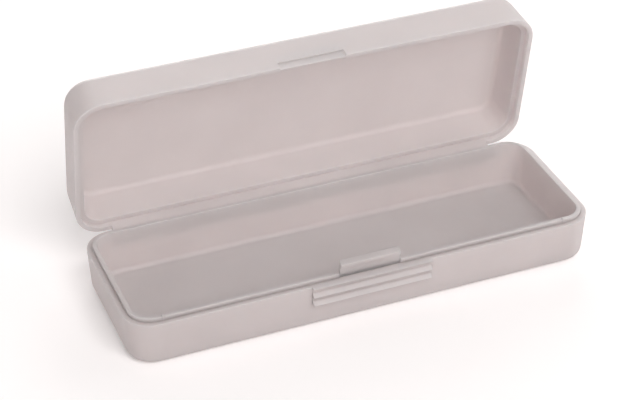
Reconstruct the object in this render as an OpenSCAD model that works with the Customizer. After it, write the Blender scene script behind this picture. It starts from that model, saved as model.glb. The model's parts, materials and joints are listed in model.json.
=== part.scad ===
// Hinged clamshell case for a ten-hole harmonica, moulded in frosted polypropylene.
// The length runs along X, the latch faces -Y, the hinge is at +Y and the case stands on Z = 0.
// The origin is the middle of the base's underside. Millimetres throughout.

/* [Case] */
// Length of the closed case over its rim
case_l = 110.5; // [100:0.5:130]
// Depth of the closed case over its rim, from latch side to hinge side
case_w = 37.5; // [34:0.5:46]
// Height of the base from its underside to the ledge that the lid rests on
base_h = 11; // [10:0.1:14]
// Depth of the lid from its rim to its outer face
lid_h = 11.2; // [10:0.1:14]
// Radius of the upright corners, seen from above
corner_r = 6.5; // [6:0.1:9]
// Draft of every outer and inner wall, in degrees
draft = 3.5; // [1:0.1:5]

/* [Walls] */
// Thickness of the side walls at the rim
wall = 2.3; // [2.2:0.05:2.6]
// Thickness of the base's floor and of the lid's panel
floor_t = 1.3; // [1.1:0.1:1.8]
// Radius of the base's lower outer edge
base_edge_r = 2; // [1.2:0.1:3]
// Radius of the lid's upper outer edge
lid_edge_r = 2.5; // [1.2:0.1:3]
// Radius of the edge inside both shells, between wall and floor
inner_edge_r = 1.2; // [0.6:0.1:1.6]

/* [Rim] */
// Width of the ledge that carries the lid's rim
ledge_w = 1.3; // [1.1:0.05:1.4]
// Height of the locating lip above the ledge
lip_h = 0.9; // [0.6:0.05:1.1]
// Running clearance between the lip and the lid's skirt
lip_gap = 0.1; // [0.05:0.01:0.15]
// Bevel along the lip's top edges
lip_bevel = 0.18; // [0.1:0.01:0.25]
// Height of the rebate inside the lid's rim that clears the lip
rebate_h = 1.35; // [1.3:0.05:1.6]
// Distance of each locating nib from the middle of the latch side
nib_x = 47.5; // [40:0.1:48]
// Width of a locating nib
nib_w = 0.5; // [0.4:0.1:1]

/* [Latch] */
// Width of the latch tongue
tongue_w = 14.2; // [10:0.1:16]
// Height of the tongue's tip above the ledge
tongue_h = 4.05; // [3.9:0.05:4.3]
// Thickness of the tongue's neck
neck_t = 1; // [0.7:0.05:1]
// How far the snap bead stands out from the neck
bead_out = 0.6; // [0.4:0.05:0.65]
// Height of the bead's upright face
bead_land = 0.85; // [0.5:0.05:0.9]
// Height of the slope that undercuts the bead
bead_undercut = 0.2; // [0.1:0.05:0.25]
// Slope of the tongue's lead-in roof, in degrees
lead_in = 24; // [15:1:35]
// Slit on each side of the tongue, through the locating lip
tongue_slit = 0.15; // [0.1:0.05:0.3]
// Height of the thin root in which the tongue flexes
flexure_h = 0.4; // [0.3:0.05:0.5]
// Width of the catch bar in the lid
catch_w = 15.8; // [12:0.1:20]
// Height of the catch bar above the lid's rim
catch_h = 2.2; // [2:0.05:2.3]
// Depth of the nail nick over the catch bar
nick_depth = 0.4; // [0.2:0.05:0.4]

/* [Grip] */
// Width of the thumb grip under the latch
grip_w = 28.2; // [20:0.1:40]
// Number of ridges on the thumb grip
grip_ridges = 3; // [2:1:4]
// Spacing of the ridges, from tip to tip
grip_pitch = 2.2; // [1.8:0.1:2.4]
// How far the ridges stand out from the base's wall
grip_out = 0.85; // [0.5:0.05:1.2]
// Radius of the grip's lower corners, seen from the front
grip_corner_r = 1.1; // [0.6:0.1:1.5]

/* [Hinge] */
// Half of the width of the living hinge along the back
hinge_half = 47; // [30:0.5:47.5]
// Drop of the hinge line below the ledge
hinge_drop = 2.5; // [2:0.1:3]
// Distance of the hinge line behind the case's back wall
hinge_back = 0.3; // [0.25:0.01:0.4]
// Thickness of the living hinge's web
web_t = 0.28; // [0.2:0.01:0.35]
// Height of the thick land on each side of the web
land_h = 1.5; // [1:0.1:1.8]
// How far the lid stands open, in degrees from closed
lid_open = 80; // [20:1:130]

/* [Hidden] */
$fn = 96;

base_colour = "#d3c6c8";
rim_colour = "#e4dadb";
lid_colour = "#d0c4c3";
hinge_colour = "#dcd0ce";

eps = 0.01;                              // overshoot of a cutting tool past the face it cuts
draft_run = tan(draft);                  // how far a wall leans in for each millimetre of depth
lip_t = wall - ledge_w;                  // thickness of the lip
nib_rise = 0.3;                          // how far the nibs stand above the lip
nib_fit = 0.7;                           // share of the lip's clearance that the nibs take up
skirt_w = ledge_w - lip_gap;             // thickness of the lid's skirt, outside its rebate
front_y = -case_w / 2;                   // outer face of the latch side, at the rim
back_y = case_w / 2;                     // outer face of the hinge side, at the rim
lid_top_z = base_h + lid_h;

hinge_y = back_y + hinge_back;           // the line that the lid turns about, along X,
hinge_z = base_h - hinge_drop;           // in the middle of the closed web's outer face
land_gap = 0.6;                          // between the two lands, where the web bends
flap_gap = 0.15;                         // from the hinge line to the flap, and to the notch under it
flap_bevel = 0.1;                        // sets back the flap's lower edge, beside the web
notch_side_gap = 0.2;                    // between each end of the flap and its notch
land_bevel = 0.2;

neck_y = front_y + ledge_w;              // outer face of the neck, in line with the lip's
inner_y = neck_y + neck_t;               // inner face of the neck
bead_y = neck_y - bead_out;              // outer face of the bead
tip_z = base_h + tongue_h;
tip_r = 0.25;                            // rounding of the tongue's inner top edge
roof_y = inner_y - tip_r - tip_r * sin(lead_in);    // where the roof meets the rounded tip
roof_z = tip_z - tip_r + tip_r * cos(lead_in);
shoulder_z = roof_z - (roof_y - bead_y) * tan(lead_in);
bead_foot_z = shoulder_z - bead_land;

pocket_gap = 0.1;                        // between the bead and the pocket in the lid's wall
pocket_headroom = 0.4;                   // between the tongue's tip and the pocket's ceiling
pocket_y = bead_y - pocket_gap;
pocket_top_z = tip_z + pocket_headroom;
catch_top_z = base_h + catch_h;
catch_lead = 0.35;                       // bevel that leads the bead in under the bar

ridge_edge = 0.12;                       // height of the blunt edge of each ridge
ridge_under = 0.42;                      // height of the slope under each ridge
grip_rim_bevel = 0.2;                    // flat on top of the first ridge, short of its edge by this
grip_z = base_h - ridge_edge - (grip_ridges - 1) * grip_pitch;    // edge of the lowest ridge
grip_foot_z = grip_z - ridge_edge - ridge_under;

// Points of an arc, from one angle to another.
function arc(centre, radius, from, to, steps = 8) = [
    for (i = [0 : steps]) let (a = from + (to - from) * i / steps)
        centre + radius * [cos(a), sin(a)]
];

// The outline of a drafted tray's section: x from the corner's axis, y up from the underside.
// reach is the half width at the rim, depth the height and edge the radius of the lower edge.
function drafted_outline(reach, depth, edge, over = 0) =
    let (centre = [reach - (depth - edge) * draft_run - edge / cos(draft), edge])
    concat(
        [[0, depth + over], [0, 0]],
        arc(centre, edge, -90, -draft),
        [[reach + over * draft_run, depth + over]]
    );

// The section of one shell: an outer tray less an inner one.
module tray_section(depth, edge) {
    difference() {
        polygon(drafted_outline(corner_r, depth, edge));
        translate([0, floor_t])
            polygon(drafted_outline(corner_r - wall, depth - floor_t, inner_edge_r, 1));
    }
}

// Carries a section round the case's plan: four straight sides and four quarter turns.
module round_sweep() {
    for (side = [0:3]) {
        across = side % 2 == 0 ? case_l : case_w;
        along = side % 2 == 0 ? case_w : case_l;
        rotate(90 * side) translate([across / 2 - corner_r, 0, 0]) {
            rotate([90, 0, 0])
                linear_extrude(height = along - 2 * corner_r, center = true) children();
            translate([0, along / 2 - corner_r, 0])
                rotate_extrude(angle = 90) children();
        }
    }
}

// The flat middle of a tray, inside the four corner axes.
module tray_middle() {
    translate([0, 0, floor_t / 2])
        cube([case_l - 2 * corner_r, case_w - 2 * corner_r, floor_t], center = true);
}

// A profile in the Y-Z plane, drawn with x as Y and y as Z, carried along X.
module along_x(width) {
    rotate([90, 0, 90]) linear_extrude(height = width, center = true) children();
}

// A box from its middle in X and its limits in Y and Z.
module slab(width, y0, y1, z0, z1) {
    translate([-width / 2, y0, z0]) cube([width, y1 - y0, z1 - z0]);
}

// Swings what is drawn in the closed case's place to the open lid's place.
module opened() {
    translate([0, hinge_y, hinge_z]) rotate([-lid_open, 0, 0])
        translate([0, -hinge_y, -hinge_z]) children();
}

// How far the base's outer wall is behind its rim at height z.
function wall_lean(z) = (base_h - z) * draft_run;

// Base tray with its ledge, cut away at the back where the lid's hinge flap hangs.
module base_shell() {
    color(base_colour) difference() {
        union() {
            round_sweep() tray_section(base_h, base_edge_r);
            tray_middle();
        }
        slab(2 * (hinge_half + notch_side_gap), back_y - ledge_w, back_y + 1,
            hinge_z - flap_gap, base_h + eps);
    }
}

// Thin wall that stands up inside the ledge and guides the lid.
module locating_lip() {
    inner = corner_r - wall;
    outer = inner + lip_t;
    color(rim_colour) difference() {
        translate([0, 0, base_h]) round_sweep() polygon([
            [inner, 0],
            [outer, 0],
            [outer, lip_h - lip_bevel],
            [outer - lip_bevel, lip_h],
            [inner + lip_bevel, lip_h],
            [inner, lip_h - lip_bevel]
        ]);
        slab(tongue_w + 2 * tongue_slit, front_y, front_y + wall + 1, base_h - 1, base_h + 2);
    }
}

// Two small uprights over the lip's edge that take up the lid's side play.
module locating_nibs() {
    proud = lip_gap * nib_fit;
    lip_top = base_h + lip_h;
    nib_top = lip_top + nib_rise;
    color(rim_colour) for (side = [-1, 1]) translate([side * nib_x, 0, 0])
        along_x(nib_w) polygon([
            [neck_y, base_h],
            [neck_y - proud, base_h],
            [neck_y - proud, nib_top - nib_rise / 2],
            [neck_y + nib_rise / 2, nib_top],
            [neck_y + lip_t / 2, nib_top],
            [neck_y + lip_t / 2 + nib_rise, lip_top],
            [neck_y + lip_bevel, lip_top],
            [neck_y, lip_top - lip_bevel]
        ]);
}

// Outline of one ridge whose edge is at height z: it slopes out and down to a blunt edge.
function ridge_points(z) = [
    [front_y, z + grip_out],
    [front_y - grip_out, z],
    [front_y - grip_out, z - ridge_edge],
    [front_y, z - ridge_edge - ridge_under]
];

// Ridges for the thumb under the latch, like the teeth of a saw. The first is level with the ledge.
module thumb_grip() {
    first = ridge_points(base_h - ridge_edge);
    lower = [for (i = [1 : grip_ridges - 1]) each ridge_points(base_h - ridge_edge - i * grip_pitch)];
    color(base_colour) intersection() {
        along_x(grip_w) polygon(concat(
            [[front_y, base_h], [front_y - grip_out + grip_rim_bevel, base_h]],
            [first[1], first[2], first[3]],
            lower,
            [[front_y + wall_lean(grip_foot_z), grip_foot_z]]
        ));
        grip_outline();
    }
}

// Front view of the grip: square at the ledge, with round lower corners.
module grip_outline() {
    reach = grip_w / 2 - grip_corner_r;
    middle_z = grip_foot_z + grip_corner_r;
    translate([0, front_y + 2, 0]) rotate([90, 0, 0]) linear_extrude(height = 5) {
        translate([-grip_w / 2, middle_z]) square([grip_w, base_h - middle_z]);
        translate([-reach, grip_foot_z]) square([2 * reach, grip_corner_r + eps]);
        for (side = [-1, 1])
            translate([side * reach, middle_z]) circle(r = grip_corner_r);
    }
}

// Thick land on the base's back wall, from which the living hinge starts.
module hinge_rail() {
    top = hinge_z - land_gap / 2;
    foot = top - land_h;
    color(hinge_colour) along_x(2 * hinge_half) polygon([
        [back_y - wall_lean(top), top],
        [hinge_y, top],
        [hinge_y, foot + land_bevel],
        [hinge_y - land_bevel, foot],
        [back_y - wall_lean(foot), foot]
    ]);
}

// Thin root of the latch tongue, which bends when the latch is pushed in.
module latch_flexure() {
    color(rim_colour)
        slab(tongue_w, neck_y, neck_y + neck_t, base_h, base_h + flexure_h);
}

// Snap tongue: an upright neck with a bead, sloping on top and undercut below.
module latch_tongue() {
    color(rim_colour) along_x(tongue_w) polygon(concat(
        [
            [neck_y, base_h + flexure_h],
            [neck_y, bead_foot_z - bead_undercut],
            [bead_y, bead_foot_z],
            [bead_y, shoulder_z]
        ],
        arc([inner_y - tip_r, tip_z - tip_r], tip_r, 90 + lead_in, 0),
        [[inner_y, base_h + flexure_h]]
    ));
}

// Lid tray with the rebate inside its rim, the latch's pocket and the nick over the catch bar.
module lid_shell() {
    color(lid_colour) opened() difference() {
        translate([0, 0, lid_top_z]) mirror([0, 0, 1]) {
            round_sweep() difference() {
                tray_section(lid_h, lid_edge_r);
                translate([0, lid_h - rebate_h]) square([corner_r - skirt_w, rebate_h + 1]);
            }
            tray_middle();
        }
        slab(catch_w, pocket_y, front_y + wall + 1, base_h - 1, pocket_top_z);
        slab(catch_w, front_y - 1, front_y + wall + 1, base_h - 1, catch_top_z);
    }
}

// Bar that bridges the mouth of the pocket, with a lead-in bevel: the bead snaps in above it.
module catch_bar() {
    outer_y = front_y + nick_depth;
    inner_y = front_y + skirt_w;
    color(rim_colour) opened() along_x(catch_w) polygon([
        [outer_y, base_h],
        [outer_y, catch_top_z],
        [inner_y, catch_top_z],
        [inner_y, base_h + catch_lead],
        [inner_y - catch_lead, base_h]
    ]);
}

// Flap of the lid's back wall that hangs below the ledge and ends in the lid's land.
module hinge_flap() {
    foot = hinge_z + land_gap / 2;
    color(hinge_colour) opened() along_x(2 * hinge_half) polygon([
        [back_y - skirt_w, base_h],
        [back_y - skirt_w, hinge_z + flap_gap],
        [back_y - flap_bevel, hinge_z + flap_gap],
        [back_y, foot],
        [hinge_y, foot],
        [hinge_y, foot + land_h - land_bevel],
        [hinge_y - land_bevel, foot + land_h],
        [back_y, foot + land_h],
        [back_y, base_h]
    ]);
}

// Web of the living hinge: it leaves the rail's top edge upright and meets the flap's land
// square on, so it bends through the lid's opening angle in one arc.
module hinge_web() {
    half_gap = land_gap / 2;
    outer_r = web_t + half_gap / tan(lid_open / 2);
    reach = 2 * outer_r;
    color(hinge_colour) translate([0, hinge_y - web_t + outer_r, hinge_z - half_gap])
        along_x(2 * hinge_half) intersection() {
            difference() {
                circle(r = outer_r);
                circle(r = outer_r - web_t);
            }
            polygon([
                [0, 0],
                [-reach, 0],
                [-reach, reach * tan(lid_open / 2)],
                [-reach * cos(lid_open), reach * sin(lid_open)]
            ]);
        }
}

base_shell();
locating_lip();
locating_nibs();
thumb_grip();
hinge_rail();
latch_flexure();
latch_tongue();
lid_shell();
catch_bar();
hinge_flap();
hinge_web();
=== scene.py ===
"""Looks of a hinged clamshell case in frosted polypropylene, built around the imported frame."""

import json
import logging
import math
from dataclasses import dataclass, field
from enum import Enum

import bmesh
import bpy
from mathutils import Matrix, Vector


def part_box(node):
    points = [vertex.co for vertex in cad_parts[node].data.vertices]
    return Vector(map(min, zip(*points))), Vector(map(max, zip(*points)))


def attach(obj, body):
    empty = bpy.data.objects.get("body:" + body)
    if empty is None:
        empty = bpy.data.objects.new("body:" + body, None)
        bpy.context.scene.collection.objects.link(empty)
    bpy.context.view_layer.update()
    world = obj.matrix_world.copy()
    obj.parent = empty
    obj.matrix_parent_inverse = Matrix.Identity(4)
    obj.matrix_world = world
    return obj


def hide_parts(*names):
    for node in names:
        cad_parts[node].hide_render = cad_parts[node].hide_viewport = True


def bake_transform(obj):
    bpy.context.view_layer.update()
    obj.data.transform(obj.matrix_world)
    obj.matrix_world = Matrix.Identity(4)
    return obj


MM = 0.001                   # the sizes below are in millimetres, Blender's in metres
WELD = 1e-6                  # vertices closer than this are one, in metres
FINE = 0.5                   # a rounding under this radius takes few steps, in millimetres
FINE_STEPS, WIDE_STEPS = 3, 10
CREASE = math.radians(40)    # faces that meet at more than this keep a crisp edge
PAST = 1.0                   # how far a cutting tool reaches past what it cuts, in millimetres
NOISE_LOW, NOISE_HIGH = 0.3, 0.7   # most of a noise texture's values lie between these
IMAGE_W = 640                # the picture's width in pixels
SENSOR_W = 36.0              # the camera's sensor width in millimetres

LOG = logging.getLogger("case")

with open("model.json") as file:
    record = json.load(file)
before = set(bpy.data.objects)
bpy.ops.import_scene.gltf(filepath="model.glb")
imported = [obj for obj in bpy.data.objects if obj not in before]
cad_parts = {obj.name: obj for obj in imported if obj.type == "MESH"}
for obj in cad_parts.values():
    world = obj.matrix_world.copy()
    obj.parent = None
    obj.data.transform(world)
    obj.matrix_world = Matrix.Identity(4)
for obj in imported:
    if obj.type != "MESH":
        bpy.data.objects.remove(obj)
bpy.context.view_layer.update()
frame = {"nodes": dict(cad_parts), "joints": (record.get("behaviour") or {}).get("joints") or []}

Point = tuple[float, float]
Point3 = tuple[float, float, float]


def linear(hex_colour: str) -> tuple[float, float, float, float]:
    """Turn an sRGB hex colour into the linear colour that a shader takes.

    Args:
        hex_colour: six hex digits after a hash sign.

    Returns:
        Linear red, green and blue, and an alpha of 1.
    """
    parts = [int(hex_colour[i:i + 2], 16) / 255 for i in (1, 3, 5)]
    lin = [p / 12.92 if p <= 0.04045 else ((p + 0.055) / 1.055) ** 2.4 for p in parts]
    return (lin[0], lin[1], lin[2], 1.0)


def add_node(tree: bpy.types.NodeTree, kind: str, values: dict | None = None, **settings) -> bpy.types.Node:
    """Add one shader node.

    Args:
        tree: the material's or the world's node tree.
        kind: the node's type, without the word ShaderNode.
        values: what goes into each input, a constant or another node's output socket.
        **settings: attributes of the node itself.

    Returns:
        The new node.
    """
    node = tree.nodes.new("ShaderNode" + kind)
    for name, value in settings.items():
        setattr(node, name, value)
    for name, value in (values or {}).items():
        socket = node.inputs[name]
        if isinstance(value, bpy.types.NodeSocket):
            tree.links.new(value, socket)
        else:
            socket.default_value = value
    return node


def empty_material(name: str) -> bpy.types.Material:
    """Make a material whose node tree is empty."""
    material = bpy.data.materials.new(name)
    material.use_nodes = True
    material.node_tree.nodes.clear()
    return material


def seen_directly(tree: bpy.types.NodeTree) -> bpy.types.NodeSocket:
    """Tell the rays that show a surface, to the camera, in gloss or through plastic, from those that light.

    Args:
        tree: the node tree to add the nodes to.

    Returns:
        A socket that is 1 for such a ray and else 0.
    """
    path = add_node(tree, "LightPath").outputs
    seen = add_node(tree, "Math", {0: path["Is Camera Ray"], 1: path["Is Glossy Ray"]},
                    operation="MAXIMUM")
    return add_node(tree, "Math", {0: seen.outputs[0], 1: path["Is Transmission Ray"]},
                    operation="MAXIMUM").outputs[0]


@dataclass(frozen=True)
class Polypropylene:
    """Natural polypropylene, injection moulded: milky all through, so light spreads in it."""

    name: str
    colour: str
    roughness: float
    clear: float                   # share of the light that passes without being spread
    grain_mm: float                # spacing of the pits that the tool's surface leaves
    grain_depth_mm: float
    cloud_mm: float = 14.0         # cooling leaves faint clouds in the haze
    spread_mm: float = 3.0         # how far light travels in the plastic between turns
    ior: float = 1.49
    painted_shade_mm: float = 1.2        # width of the hollows that the painted shade darkens
    painted_shade_darkest: float = 1.0      # what the painted shade leaves of the colour in the tightest of them
    painted_shade_closed: float = 0.35   # openness of such a hollow, where 1 is an open face
    painted_shade_open: float = 0.9
    haze: Point = (0.97, 1.02)     # how far the clouds change the colour
    roughness_play: float = 0.05   # how far the pits change the roughness
    pit_strength: float = 0.5      # how strongly the pits tilt the surface
    milk: float = 0.9              # share of the light that spreads inside
    forward: float = 0.2           # the milk's particles throw light a little forwards
    colour_spread: Point3 = (1.0, 0.95, 0.93)   # red light travels a little further than blue

    def material(self) -> bpy.types.Material:
        """Build the node material.

        Returns:
            The material, which reads Object coordinates in metres.
        """
        material = empty_material(self.name)
        tree = material.node_tree
        place = add_node(tree, "TexCoord").outputs["Object"]
        clouds = add_node(tree, "TexNoise", {
            "Vector": place, "Scale": 1 / (self.cloud_mm * MM), "Detail": 3.0, "Roughness": 0.45})
        haze = add_node(tree, "MapRange", {
            "Value": clouds.outputs["Fac"], "From Min": NOISE_LOW, "From Max": NOISE_HIGH,
            "To Min": self.haze[0], "To Max": self.haze[1]}).outputs["Result"]
        tinted = add_node(tree, "VectorMath", {0: linear(self.colour)[:3]}, operation="SCALE")
        # Painted shade: ambient occlusion darkens the colour in hollows, where shade falls.
        if self.painted_shade_darkest < 1:
            near = add_node(tree, "AmbientOcclusion", {"Distance": self.painted_shade_mm * MM},
                            samples=8, only_local=True)
            painted_shade = add_node(tree, "MapRange", {
                "Value": near.outputs["AO"], "From Min": self.painted_shade_closed,
                "From Max": self.painted_shade_open, "To Min": self.painted_shade_darkest, "To Max": 1.0})
            haze = add_node(tree, "Math", {0: haze, 1: painted_shade.outputs["Result"]},
                            operation="MULTIPLY").outputs[0]
        tree.links.new(haze, tinted.inputs["Scale"])
        pits = add_node(tree, "TexNoise", {
            "Vector": place, "Scale": 1 / (self.grain_mm * MM), "Detail": 2.0, "Roughness": 0.6})
        rough = add_node(tree, "MapRange", {
            "Value": pits.outputs["Fac"], "From Min": NOISE_LOW, "From Max": NOISE_HIGH,
            "To Min": self.roughness - self.roughness_play,
            "To Max": self.roughness + self.roughness_play})
        bump = add_node(tree, "Bump", {
            "Height": pits.outputs["Fac"], "Strength": self.pit_strength,
            "Distance": self.grain_depth_mm * MM})
        surface = add_node(tree, "BsdfPrincipled", {
            "Base Color": tinted.outputs["Vector"], "Roughness": rough.outputs["Result"],
            "Normal": bump.outputs["Normal"], "IOR": self.ior,
            "Transmission Weight": self.clear, "Subsurface Weight": self.milk,
            "Subsurface Radius": self.colour_spread, "Subsurface Scale": self.spread_mm * MM,
            "Subsurface Anisotropy": self.forward})
        add_node(tree, "OutputMaterial", {"Surface": surface.outputs["BSDF"]})
        return material


class Finish(Enum):
    """The surfaces of the moulding, by how the tool made them; one of them has painted shade in its
    hollows.
    """

    # Spark-eroded tool faces: fine pits, about 0.1 mm apart and drawn coarser so that they show, give
    # the walls a satin, frosted look with no reflections.
    SHELL = Polypropylene("polypropylene_spark_textured", "#e4dcdb", 0.5, 0.4, 0.35, 0.012)
    # The same face with painted shade: ambient occlusion darkens the colour in the grooves of the grip and
    # at the lip's foot.
    SHELL_PAINTED_SHADE = Polypropylene("polypropylene_spark_textured_painted_shade", "#e4dcdb", 0.5, 0.4, 0.35, 0.012,
                            painted_shade_darkest=0.55)
    # Ground tool faces: the latch is a little smoother than the walls, with a soft shine on its edges.
    RIM = Polypropylene("polypropylene_ground_tool", "#d9d1d0", 0.36, 0.4, 0.5, 0.006)
    # The web is drawn out as it is first bent: its chains line up, so it turns smoother and whiter,
    # and nothing shows through it.
    HINGE = Polypropylene("polypropylene_drawn_by_bending", "#e4dddc", 0.4, 0.0, 0.5, 0.002,
                          spread_mm=1.0)


MATERIALS: dict[Finish, bpy.types.Material] = {}


def finish_material(finish: Finish) -> bpy.types.Material:
    """Give a finish's material, made once and shared."""
    if finish not in MATERIALS:
        MATERIALS[finish] = finish.value.material()
    return MATERIALS[finish]


@dataclass
class CaseSizes:
    """Sizes of the case in millimetres, from the frame's boxes and from how it is moulded."""

    corner_r: float = 6.5
    draft: float = math.radians(3.5)
    wall: float = 2.3
    floor_t: float = 1.3
    base_edge_r: float = 2.0
    lid_edge_r: float = 2.5
    inner_edge_r: float = 1.2
    ledge_w: float = 1.3
    skirt_w: float = 1.2
    rebate_h: float = 1.35
    edge_round: float = 0.14
    hinge_y: float = field(init=False)
    hinge_z: float = field(init=False)
    opening: float = field(init=False)

    def __post_init__(self) -> None:
        """Read the frame: the base's and the lip's boxes, the hinge's axis and its angle at rest."""
        low, high = (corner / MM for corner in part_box("base_shell"))
        self.length, self.width, self.base_h = high.x - low.x, high.y - low.y, high.z
        self.lip_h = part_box("locating_lip")[1].z / MM - self.base_h
        hinge = next(j for j in frame["joints"] if j["name"] == "lid_hinge")
        self.hinge_y, self.hinge_z = hinge["pos_m"][1] / MM, hinge["pos_m"][2] / MM
        self.opening = -math.radians(hinge["range_deg"][0])
        self.lid_top = self.closed_box("lid_shell")[1].z
        self.lid_h = self.lid_top - self.base_h
        self.front, self.back = -self.width / 2, self.width / 2

    def swing(self) -> Matrix:
        """Give the turn about the hinge from closed to open at rest, in metres."""
        pivot = Vector((0, self.hinge_y, self.hinge_z)) * MM
        turn = Matrix.Rotation(-self.opening, 4, "X")
        return Matrix.Translation(pivot) @ turn @ Matrix.Translation(-pivot)

    def closed_box(self, node: str) -> tuple[Vector, Vector]:
        """Give the box of one of the lid's nodes with the lid closed.

        Args:
            node: the node's name.

        Returns:
            Its lowest and its highest corner, in millimetres.
        """
        back = self.swing().inverted()
        points = [back @ v.co / MM for v in frame["nodes"][node].data.vertices]
        low, high = (Vector(pick(p[i] for p in points) for i in range(3)) for pick in (min, max))
        return low, high

    def wall_y(self, z: float) -> float:
        """Give the front wall's outer face at a height on the base."""
        return self.front + (self.base_h - z) * math.tan(self.draft)


def corner_offset(before: Point, corner: Point, after: Point, radius: float) -> float:
    """Find how far from a corner a rounding of some radius starts.

    Args:
        before: the outline's point before the corner.
        corner: the corner.
        after: the point after it.
        radius: the rounding's radius.

    Returns:
        The distance along both edges.
    """
    a = Vector(before) - Vector(corner)
    b = Vector(after) - Vector(corner)
    return radius / math.tan(a.angle(b) / 2)


def outline_face(bm: bmesh.types.BMesh, points: list[Point],
                 roundings: dict[int, float]) -> bmesh.types.BMFace:
    """Draw an outline as one face in the X-Z plane and round its corners.

    Args:
        bm: the empty mesh to draw in.
        points: the outline's corners in millimetres, as x and z.
        roundings: a radius in millimetres for each corner that is rounded, by its index.

    Returns:
        The face, in metres.
    """
    verts = [bm.verts.new((x * MM, 0.0, z * MM)) for x, z in points]
    bm.faces.new(verts)
    for index, radius in roundings.items():
        following = (index + 1) % len(points)
        offset = corner_offset(points[index - 1], points[index], points[following], radius)
        bmesh.ops.bevel(bm, geom=[verts[index]], offset=offset * MM, profile=0.5, affect="VERTICES",
                        segments=FINE_STEPS if radius < FINE else WIDE_STEPS, material=-1)
    return next(iter(bm.faces))


def finish_mesh(bm: bmesh.types.BMesh, name: str) -> bpy.types.Object:
    """Weld a mesh, turn its faces outwards and make it an object at the origin.

    Args:
        bm: the mesh, which is freed.
        name: the object's name.

    Returns:
        The object.
    """
    bmesh.ops.remove_doubles(bm, verts=bm.verts, dist=WELD)
    bmesh.ops.recalc_face_normals(bm, faces=bm.faces)
    mesh = bpy.data.meshes.new(name)
    bm.to_mesh(mesh)
    bm.free()
    piece = bpy.data.objects.new(name, mesh)
    bpy.context.scene.collection.objects.link(piece)
    return piece


def round_tray(name: str, sizes: CaseSizes, section: list[Point],
               roundings: dict[int, float], corner_steps: int = 14) -> bpy.types.Object:
    """Carry a wall's section round the case's plan and close its middle.

    Args:
        name: the object's name.
        sizes: the case's sizes.
        section: corners of the section, x from the corner's axis; the first and last are on it.
        roundings: radii of the section's rounded corners, by index.
        corner_steps: steps in each quarter turn.

    Returns:
        The tray, open upwards, with its underside at the section's lowest point.
    """
    bm = bmesh.new()
    face = outline_face(bm, section, roundings)
    bmesh.ops.delete(bm, geom=[face], context="FACES_ONLY")
    on_axis = [e for e in bm.edges if all(abs(v.co.x) < WELD for v in e.verts)]
    bmesh.ops.delete(bm, geom=on_axis, context="EDGES")
    half_x = (sizes.length / 2 - sizes.corner_r) * MM
    half_y = (sizes.width / 2 - sizes.corner_r) * MM
    corners = [Vector((half_x, -half_y, 0)), Vector((half_x, half_y, 0)),
               Vector((-half_x, half_y, 0)), Vector((-half_x, -half_y, 0))]
    facing_front = Matrix.Translation(corners[0]) @ Matrix.Rotation(math.radians(-90), 4, "Z")
    bmesh.ops.transform(bm, matrix=facing_front, verts=bm.verts)
    last = list(bm.verts) + list(bm.edges)
    for corner, following in zip(corners, corners[1:] + corners[:1]):
        turned = bmesh.ops.spin(bm, geom=last, cent=corner, axis=(0, 0, 1), dvec=(0, 0, 0),
                                angle=math.radians(90), steps=corner_steps, use_duplicate=False)
        edges = [g for g in turned["geom_last"] if isinstance(g, bmesh.types.BMEdge)]
        run = bmesh.ops.extrude_edge_only(bm, edges=edges)["geom"]
        moved = {g for g in run if isinstance(g, bmesh.types.BMVert)}
        bmesh.ops.translate(bm, verts=list(moved), vec=following - corner)
        last = list(moved) + [g for g in run if isinstance(g, bmesh.types.BMEdge)
                              and all(v in moved for v in g.verts)]
    bmesh.ops.remove_doubles(bm, verts=bm.verts, dist=WELD)
    bmesh.ops.holes_fill(bm, edges=[e for e in bm.edges if e.is_boundary], sides=0)
    return finish_mesh(bm, name)


def bar_along_x(name: str, section: list[Point], width: float,
                roundings: dict[int, float] | None = None, end_round: float = 0.0) -> bpy.types.Object:
    """Extrude a section along X, evenly to both sides.

    Args:
        name: the object's name.
        section: the section's corners in millimetres, as y and z.
        width: the bar's length along X in millimetres.
        roundings: radii of rounded corners, by index.
        end_round: radius of the edges round both ends, in millimetres.

    Returns:
        The bar.
    """
    bm = bmesh.new()
    face = outline_face(bm, section, roundings or {})
    half = width / 2 * MM
    across = Matrix.Translation((-half, 0, 0)) @ Matrix.Rotation(math.radians(90), 4, "Z")
    bmesh.ops.transform(bm, matrix=across, verts=bm.verts)
    run = bmesh.ops.extrude_face_region(bm, geom=[face])["geom"]
    moved = [g for g in run if isinstance(g, bmesh.types.BMVert)]
    bmesh.ops.translate(bm, verts=moved, vec=(2 * half, 0, 0))
    if end_round:
        ends = [e for e in bm.edges if abs(e.verts[0].co.x - e.verts[1].co.x) < WELD]
        bmesh.ops.bevel(bm, geom=ends, offset=end_round * MM, segments=FINE_STEPS, profile=0.5,
                        affect="EDGES", material=-1, clamp_overlap=True)
    return finish_mesh(bm, name)


def block(name: str, x: Point, y: Point, z: Point) -> bpy.types.Object:
    """Make a box from its limits in millimetres."""
    piece = bar_along_x(name, [(y[0], z[0]), (y[1], z[0]), (y[1], z[1]), (y[0], z[1])], x[1] - x[0])
    piece.data.transform(Matrix.Translation(((x[0] + x[1]) / 2 * MM, 0, 0)))
    return piece


def combine(piece: bpy.types.Object, tool: bpy.types.Object, operation: str) -> None:
    """Cut a tool out of a piece, or join it on, and remove the tool.

    Args:
        piece: the piece whose mesh changes.
        tool: the other solid.
        operation: DIFFERENCE, UNION or INTERSECT.
    """
    step = piece.modifiers.new("step", "BOOLEAN")
    step.object, step.operation, step.solver = tool, operation, "EXACT"
    graph = bpy.context.evaluated_depsgraph_get()
    made = bpy.data.meshes.new_from_object(piece.evaluated_get(graph))
    piece.modifiers.clear()
    old, piece.data = piece.data, made
    made.name = piece.name
    bpy.data.meshes.remove(old)
    bpy.data.objects.remove(tool)


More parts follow.
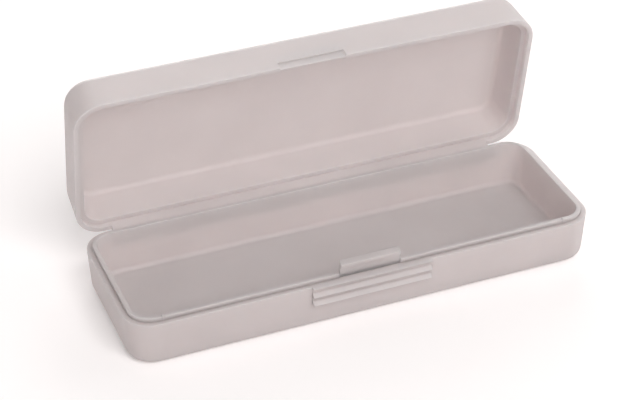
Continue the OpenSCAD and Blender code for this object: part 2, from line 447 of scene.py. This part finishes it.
def shade(piece: bpy.types.Object) -> None:
    """Weld what the cuts left, and shade a piece smoothly between its crisp edges."""
    bm = bmesh.new()
    bm.from_mesh(piece.data)
    bmesh.ops.remove_doubles(bm, verts=bm.verts, dist=WELD)
    bmesh.ops.dissolve_degenerate(bm, edges=bm.edges, dist=WELD)
    bm.to_mesh(piece.data)
    bm.free()
    piece.data.shade_smooth()
    piece.data.set_sharp_from_angle(angle=CREASE)
    weighted = piece.modifiers.new("normals", "WEIGHTED_NORMAL")
    weighted.keep_sharp = True


def dress(piece: bpy.types.Object, finish: Finish) -> None:
    """Give a piece one finish all over."""
    piece.data.materials.clear()
    piece.data.materials.append(finish_material(finish))


@dataclass
class Base:
    """The base's moulding: tray, ledge, lip, thumb grip and the hinge's fixed land."""

    sizes: CaseSizes
    tongue_slit: float = 0.15
    nib_w: float = 0.5
    notch_gap: float = 0.2
    notch_foot: float = 0.15       # from the hinge line down to the notch's foot
    land_bevel: float = 0.2
    grip_ridges: int = 3
    grip_pitch: float = 2.2
    grip_out: float = 0.85
    grip_blunt: float = 0.12       # height of each ridge's blunt edge
    grip_under: float = 0.42       # height of the slope under each ridge
    grip_corner_r: float = 1.1
    grip_rim_bevel: float = 0.2    # slope of the first ridge at the ledge
    sunk: float = 0.6              # how far a part that is joined on goes into the wall

    def section(self) -> tuple[list[Point], dict[int, float]]:
        """Draw the base's wall: underside, outer wall, ledge, lip, inner wall and floor.

        Returns:
            The section's corners and the radii of its rounded ones.
        """
        s = self.sizes
        lean = math.tan(s.draft)
        inner = s.corner_r - s.wall
        points = [
            (0, 0),
            (s.corner_r - s.base_h * lean, 0),
            (s.corner_r, s.base_h),
            (s.corner_r - s.ledge_w, s.base_h),
            (s.corner_r - s.ledge_w, s.base_h + s.lip_h),
            (inner, s.base_h + s.lip_h),
            (inner, s.base_h),
            (inner - (s.base_h - s.floor_t) * lean, s.floor_t),
            (0, s.floor_t),
        ]
        return points, {1: s.base_edge_r, 2: s.edge_round, 4: s.edge_round, 5: s.edge_round,
                        7: s.inner_edge_r}

    def grip(self) -> bpy.types.Object:
        """Model the saw-tooth ridges, with round lower corners, a little way into the wall."""
        s = self.sizes
        low, high = (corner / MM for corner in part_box("thumb_grip"))
        face, tip_y = s.front, s.front - self.grip_out
        points = [(s.wall_y(s.base_h) + self.sunk, s.base_h), (tip_y + self.grip_rim_bevel, s.base_h)]
        for ridge in range(self.grip_ridges):
            tip = s.base_h - self.grip_blunt - ridge * self.grip_pitch
            if ridge:
                points.append((face, tip + self.grip_out))
            points += [(tip_y, tip), (tip_y, tip - self.grip_blunt),
                       (face, tip - self.grip_blunt - self.grip_under)]
        points += [(s.wall_y(low.z), low.z), (s.wall_y(low.z) + self.sunk, low.z)]
        ridges = bar_along_x("ridges", points, high.x - low.x)
        corner, past = self.grip_corner_r, s.base_h + PAST
        bm = bmesh.new()
        front = outline_face(bm, [(low.x, low.z), (high.x, low.z), (high.x, past), (low.x, past)],
                             {0: corner, 1: corner})
        bmesh.ops.translate(bm, verts=bm.verts, vec=(0, (tip_y - PAST) * MM, 0))
        run = bmesh.ops.extrude_face_region(bm, geom=[front])["geom"]
        bmesh.ops.translate(bm, verts=[g for g in run if isinstance(g, bmesh.types.BMVert)],
                            vec=(0, (s.wall + 2 * PAST) * MM, 0))
        combine(ridges, finish_mesh(bm, "front_view"), "INTERSECT")
        return ridges

    def rail(self) -> bpy.types.Object:
        """Model the land on the back wall from which the hinge's web starts."""
        low, high = (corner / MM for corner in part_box("hinge_rail"))
        return bar_along_x("rail", [
            (low.y - self.sunk, high.z), (high.y, high.z), (high.y, low.z + self.land_bevel),
            (high.y - self.land_bevel, low.z), (low.y - self.sunk, low.z)], high.x - low.x)

    def nibs(self) -> list[bpy.types.Object]:
        """Model the two small uprights over the lip, each with a sloping top."""
        s = self.sizes
        low, high = (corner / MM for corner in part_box("locating_nibs"))
        lip_top = s.base_h + s.lip_h
        rise = high.z - lip_top
        neck, middle = s.front + s.ledge_w, s.front + (s.ledge_w + s.wall) / 2
        outline = [(low.y, low.z - rise), (low.y, high.z - rise / 2), (neck + rise / 2, high.z),
                   (middle, high.z), (middle + rise, lip_top - rise / 2), (middle, low.z - rise)]
        reach = high.x - self.nib_w / 2
        made = [bar_along_x("nib", outline, self.nib_w) for side in (-1, 1)]
        for nib, side in zip(made, (-1, 1)):
            nib.data.transform(Matrix.Translation((side * reach * MM, 0, 0)))
        return made

    def build(self) -> bpy.types.Object:
        """Model the base and put it on its body.

        Returns:
            The base's moulding.
        """
        s = self.sizes
        base = round_tray("base_moulding", s, *self.section())
        low, high = (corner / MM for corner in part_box("latch_tongue"))
        combine(base, block("slot", (low.x - self.tongue_slit, high.x + self.tongue_slit),
                            (s.front - PAST, s.front + s.wall + PAST),
                            (s.base_h, s.base_h + s.lip_h + PAST)), "DIFFERENCE")
        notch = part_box("hinge_rail")[1].x / MM + self.notch_gap
        combine(base, block("notch", (-notch, notch), (s.back - s.ledge_w, s.back + PAST),
                            (s.hinge_z - self.notch_foot, s.base_h + PAST)), "DIFFERENCE")
        for joined in (self.rail(), self.grip(), *self.nibs()):
            combine(base, joined, "UNION")
        shade(base)
        # The base's finish has painted shade in the grip's grooves and at the lip's foot.
        dress(base, Finish.SHELL_PAINTED_SHADE)
        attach(base, "base")
        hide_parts("base_shell", "locating_lip", "locating_nibs", "thumb_grip", "hinge_rail")
        return base


@dataclass
class Lid:
    """The lid's moulding, modelled closed and swung open to its place at rest."""

    sizes: CaseSizes
    seat_gap: float = 0.02         # keeps the closed rim's face clear of the ledge's
    catch_lead: float = 0.35       # bevel under the catch bar that leads the bead in
    pocket_gap: float = 0.1
    pocket_headroom: float = 0.4
    web_gap: float = 0.3           # from the hinge line to the flap's land
    land_h: float = 1.5
    land_bevel: float = 0.2
    flap_bevel: float = 0.1

    def section(self) -> tuple[list[Point], dict[int, float]]:
        """Draw the lid's wall with its rebate, upside down.

        Returns:
            The section's corners and the radii of its rounded ones.
        """
        s = self.sizes
        lean = math.tan(s.draft)
        inner = s.corner_r - s.wall
        step_z = s.lid_h - s.rebate_h
        rim_z = s.lid_h - self.seat_gap
        points = [
            (0, 0),
            (s.corner_r - s.lid_h * lean, 0),
            (s.corner_r - self.seat_gap * lean, rim_z),
            (s.corner_r - s.skirt_w, rim_z),
            (s.corner_r - s.skirt_w, step_z),
            (inner - s.rebate_h * lean, step_z),
            (inner - (s.lid_h - s.floor_t) * lean, s.floor_t),
            (0, s.floor_t),
        ]
        return points, {1: s.lid_edge_r, 2: s.edge_round, 3: s.edge_round, 5: s.edge_round,
                        6: s.inner_edge_r}

    def flap(self) -> bpy.types.Object:
        """Model the flap behind the ledge, with the hinge's swinging land."""
        s = self.sizes
        low, high = s.closed_box("hinge_flap")
        foot = s.hinge_z + self.web_gap
        top = foot + self.land_h
        inner = s.back - s.skirt_w
        joined = s.base_h + 2 * s.edge_round
        return bar_along_x("flap", [
            (inner, joined), (inner, low.z), (s.back - self.flap_bevel, low.z), (s.back, foot),
            (high.y, foot), (high.y, top - self.land_bevel), (high.y - self.land_bevel, top),
            (s.back, top), (s.back, s.base_h), (s.back - (joined - s.base_h) * math.tan(s.draft), joined),
        ], high.x - low.x)

    def catch(self) -> list[bpy.types.Object]:
        """Model the hollows round the catch bar: its pocket, the mouth inside it and the nail nick."""
        s = self.sizes
        low, high = s.closed_box("catch_bar")
        across = (low.x, high.x)
        tongue_low, tongue_high = (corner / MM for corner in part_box("latch_tongue"))
        deep, below = s.front + s.wall + PAST, s.base_h - PAST
        pocket = block("pocket", across, (tongue_low.y - self.pocket_gap, deep),
                       (high.z, tongue_high.z + self.pocket_headroom))
        mouth = bar_along_x("mouth", [
            (high.y - self.catch_lead, below), (deep, below), (deep, high.z), (high.y, high.z),
            (high.y, s.base_h + self.catch_lead), (high.y - self.catch_lead, s.base_h)], high.x - low.x)
        nick = block("nick", across, (s.front - PAST, low.y), (below, high.z))
        return [pocket, mouth, nick]

    def build(self) -> bpy.types.Object:
        """Model the lid, swing it open and put it on its body.

        Returns:
            The lid's moulding.
        """
        s = self.sizes
        lid = round_tray("lid_moulding", s, *self.section())
        lid.data.transform(Matrix.Translation((0, 0, s.lid_top * MM)) @ Matrix.Rotation(math.pi, 4, "X"))
        for hollow in self.catch():
            combine(lid, hollow, "DIFFERENCE")
        combine(lid, self.flap(), "UNION")
        lid.data.transform(s.swing())
        shade(lid)
        dress(lid, Finish.SHELL)
        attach(lid, "lid")
        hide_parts("lid_shell", "catch_bar", "hinge_flap")
        return lid


@dataclass
class Latch:
    """The snap tongue and the thin root in which it bends."""

    sizes: CaseSizes
    lead_in: float = math.radians(24)     # slope of the roof
    bead_out: float = 0.6
    bead_land: float = 0.85               # height of the bead's upright face
    undercut: float = 0.2
    tip_r: float = 0.25
    edge_round: float = 0.13
    root_steps: int = 6

    def tongue(self) -> bpy.types.Object:
        """Model the tongue: neck, undercut bead and sloping roof, with small roundings all round."""
        low, high = (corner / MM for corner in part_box("latch_tongue"))
        neck = low.y + self.bead_out
        above = self.tip_r * ((1 + math.sin(self.lead_in)) / math.cos(self.lead_in) - 1)
        peak = high.z + above
        shoulder = peak - (high.y - low.y) * math.tan(self.lead_in)
        foot = shoulder - self.bead_land
        return bar_along_x("latch_snap", [
            (neck, low.z), (neck, foot - self.undercut), (low.y, foot), (low.y, shoulder),
            (high.y, peak), (high.y, low.z)], high.x - low.x,
            {2: self.edge_round, 3: self.edge_round, 4: self.tip_r}, self.edge_round)

    def root(self) -> bpy.types.Object:
        """Model the thin root, cut into layers so that it can bend."""
        low, high = (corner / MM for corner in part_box("latch_flexure"))
        levels = [low.z + (high.z - low.z) * i / self.root_steps for i in range(self.root_steps + 1)]
        outline = [(low.y, z) for z in levels] + [(high.y, z) for z in reversed(levels)]
        return bar_along_x("latch_root", outline, high.x - low.x)

    def build(self) -> list[bpy.types.Object]:
        """Model both pieces and put the tongue on its body.

        Returns:
            The tongue and its root.
        """
        tongue, root = self.tongue(), self.root()
        for piece, node in ((tongue, "latch_tongue"), (root, "latch_flexure")):
            shade(piece)
            dress(piece, Finish.RIM)
            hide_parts(node)
        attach(tongue, "latch")
        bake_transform(root)
        return [tongue, root]


@dataclass
class LivingHinge:
    """The thin web that joins the base's land to the lid's and bends between them."""

    sizes: CaseSizes
    web_t: float = 0.28
    steps: int = 16

    def build(self) -> bpy.types.Object:
        """Model the web as the arc that it bends into, and put it across the joint.

        Returns:
            The web.
        """
        s = self.sizes
        low, high = (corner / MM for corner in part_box("hinge_rail"))
        half_gap = s.hinge_z - high.z
        inner_r = half_gap / math.tan(s.opening / 2)
        centre = Vector((0, high.y + inner_r, high.z)) * MM
        bm = bmesh.new()
        edge = [bm.verts.new((x * MM, y * MM, high.z * MM))
                for x, y in ((low.x, high.y), (high.x, high.y), (high.x, high.y - self.web_t),
                             (low.x, high.y - self.web_t))]
        face = bm.faces.new(edge)
        bmesh.ops.spin(bm, geom=[face, *face.edges, *face.verts], cent=centre, axis=(1, 0, 0),
                       dvec=(0, 0, 0), angle=-s.opening, steps=self.steps, use_duplicate=False)
        web = finish_mesh(bm, "hinge_membrane")
        shade(web)
        dress(web, Finish.HINGE)
        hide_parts("hinge_web")
        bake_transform(web)
        return web


@dataclass(frozen=True)
class Studio:
    """A white table in a bright room, with soft lamps in front, behind and at the right, and the camera."""

    azimuth: float = -22.049
    elevation: float = 33.787
    roll: float = -0.221
    distance: float = 451.41        # from the case to the camera, in millimetres
    focal_px: float = 1977.03       # focal length in pixels of the picture's width
    aside: float = -4.438           # how far the camera stands to the side of its aim
    above: float = 15.417           # and over it
    floor_half: float = 3.0         # from the table's middle to its edge, in metres
    floor_gap: float = 0.05         # keeps the table's face clear of the case's underside
    table_light: float = 0.05       # what the table sends up beside what it reflects
    table_glow: float = 0.13        # lifts the table to white in the picture
    shadow_reach: float = 180.0     # past this the table is plain white
    horizon: float = 0.98           # strength of the room's light from the sides
    zenith: float = 0.1             # and from above
    lamp_size: float = 0.8          # side of each lamp, in metres
    aim: Point3 = (0.0, 0.0, 0.02)  # what the lamps face
    # Each lamp's name, its place in metres and its watts.
    lamps: tuple[tuple[str, Point3, float], ...] = (
        ("front_light", (0.1, -0.85, 1.0), 10.3),
        ("back_light", (0.3, 1.0, 0.4), 5.4),
        ("right_light", (1.1, 0.1, 0.45), 2.6))

    def camera(self) -> None:
        """Place the camera as the picture was taken."""
        az, el, roll = (math.radians(a) for a in (self.azimuth, self.elevation, self.roll))
        back = Vector((math.sin(az) * math.cos(el), -math.cos(az) * math.cos(el), math.sin(el)))
        right = Vector((math.cos(az), math.sin(az), 0))
        up = back.cross(right)
        right, up = (right * math.cos(roll) + up * math.sin(roll),
                     up * math.cos(roll) - right * math.sin(roll))
        data = bpy.data.cameras.new("camera")
        data.sensor_width = SENSOR_W
        data.lens = self.focal_px * SENSOR_W / IMAGE_W
        camera = bpy.data.objects.new("camera", data)
        bpy.context.scene.collection.objects.link(camera)
        turn = Matrix((right, up, back)).transposed().to_4x4()
        place = right * self.aside + up * self.above + back * self.distance
        camera.matrix_world = Matrix.Translation(place * MM) @ turn
        bpy.context.scene.camera = camera

    def lamp(self, name: str, place: Vector, watts: float) -> None:
        """Add a soft square lamp.

        Args:
            name: the lamp's name.
            place: where it hangs, in metres.
            watts: its power.
        """
        data = bpy.data.lights.new(name, "AREA")
        data.size, data.energy = self.lamp_size, watts
        lamp = bpy.data.objects.new(name, data)
        bpy.context.scene.collection.objects.link(lamp)
        lamp.location = place
        lamp.rotation_mode = "QUATERNION"
        lamp.rotation_quaternion = (place - Vector(self.aim)).to_track_quat("Z", "Y")

    def floor(self) -> None:
        """Lay a white floor that reads white to the camera and keeps the case's shadow."""
        bm = bmesh.new()
        bmesh.ops.create_grid(bm, x_segments=1, y_segments=1, size=self.floor_half)
        bmesh.ops.translate(bm, verts=bm.verts, vec=(0, 0, -self.floor_gap * MM))
        floor = finish_mesh(bm, "floor")
        material = empty_material("white_table")
        tree = material.node_tree
        paper = add_node(tree, "BsdfDiffuse", {"Color": linear("#e8e2e2")})
        light = add_node(tree, "Emission", {"Color": linear("#ffffff"), "Strength": self.table_light})
        plain = add_node(tree, "AddShader", {0: paper.outputs[0], 1: light.outputs[0]})
        bright = add_node(tree, "BsdfDiffuse", {"Color": linear("#fdf8f7")})
        glow = add_node(tree, "Emission", {"Color": linear("#ffffff"), "Strength": self.table_glow})
        near = add_node(tree, "AddShader", {0: bright.outputs[0], 1: glow.outputs[0]})
        place = add_node(tree, "TexCoord").outputs["Object"]
        reach = add_node(tree, "VectorMath", {0: place}, operation="LENGTH")
        fade = add_node(tree, "MapRange", {
            "Value": reach.outputs["Value"], "From Min": self.shadow_reach * MM,
            "From Max": 2 * self.shadow_reach * MM}, interpolation_type="SMOOTHSTEP")
        white = add_node(tree, "Emission", {"Color": linear("#ffffff"), "Strength": 1.0})
        shown = add_node(tree, "MixShader", {0: fade.outputs["Result"], 1: near.outputs[0],
                                             2: white.outputs[0]})
        mixed = add_node(tree, "MixShader", {0: seen_directly(tree), 1: plain.outputs[0],
                                             2: shown.outputs[0]})
        add_node(tree, "OutputMaterial", {"Surface": mixed.outputs[0]})
        floor.data.materials.append(material)

    def sky(self) -> None:
        """Fill the room with a white light, weaker from above than from the sides."""
        world = bpy.data.worlds.new("room")
        bpy.context.scene.world = world
        world.use_nodes = True
        tree = world.node_tree
        tree.nodes.clear()
        way = add_node(tree, "TexCoord").outputs["Generated"]
        height = add_node(tree, "SeparateXYZ", {"Vector": way}).outputs["Z"]
        strength = add_node(tree, "MapRange", {
            "Value": height, "From Min": 0.0, "From Max": 1.0,
            "To Min": self.horizon, "To Max": self.zenith})
        shown = add_node(tree, "MapRange", {
            "Value": seen_directly(tree), "To Min": strength.outputs["Result"], "To Max": 1.0})
        room = add_node(tree, "Background", {
            "Color": linear("#ffffff"), "Strength": shown.outputs["Result"]})
        add_node(tree, "OutputWorld", {"Surface": room.outputs[0]})

    def build(self) -> None:
        """Set up the view, the floor and the lights."""
        bpy.context.scene.view_settings.view_transform = "Standard"
        self.camera()
        self.floor()
        self.sky()
        for name, place, watts in self.lamps:
            self.lamp(name, Vector(place), watts)


def main() -> None:
    """Build the case and the studio, and report each piece."""
    logging.basicConfig(level=logging.INFO, format="%(name)s: %(message)s")
    sizes = CaseSizes()
    pieces = [Base(sizes).build(), Lid(sizes).build(), LivingHinge(sizes).build(), *Latch(sizes).build()]
    for piece in pieces:
        LOG.info("%s: %d faces", piece.name, len(piece.data.polygons))
    Studio().build()


if __name__ == "__main__":
    main()
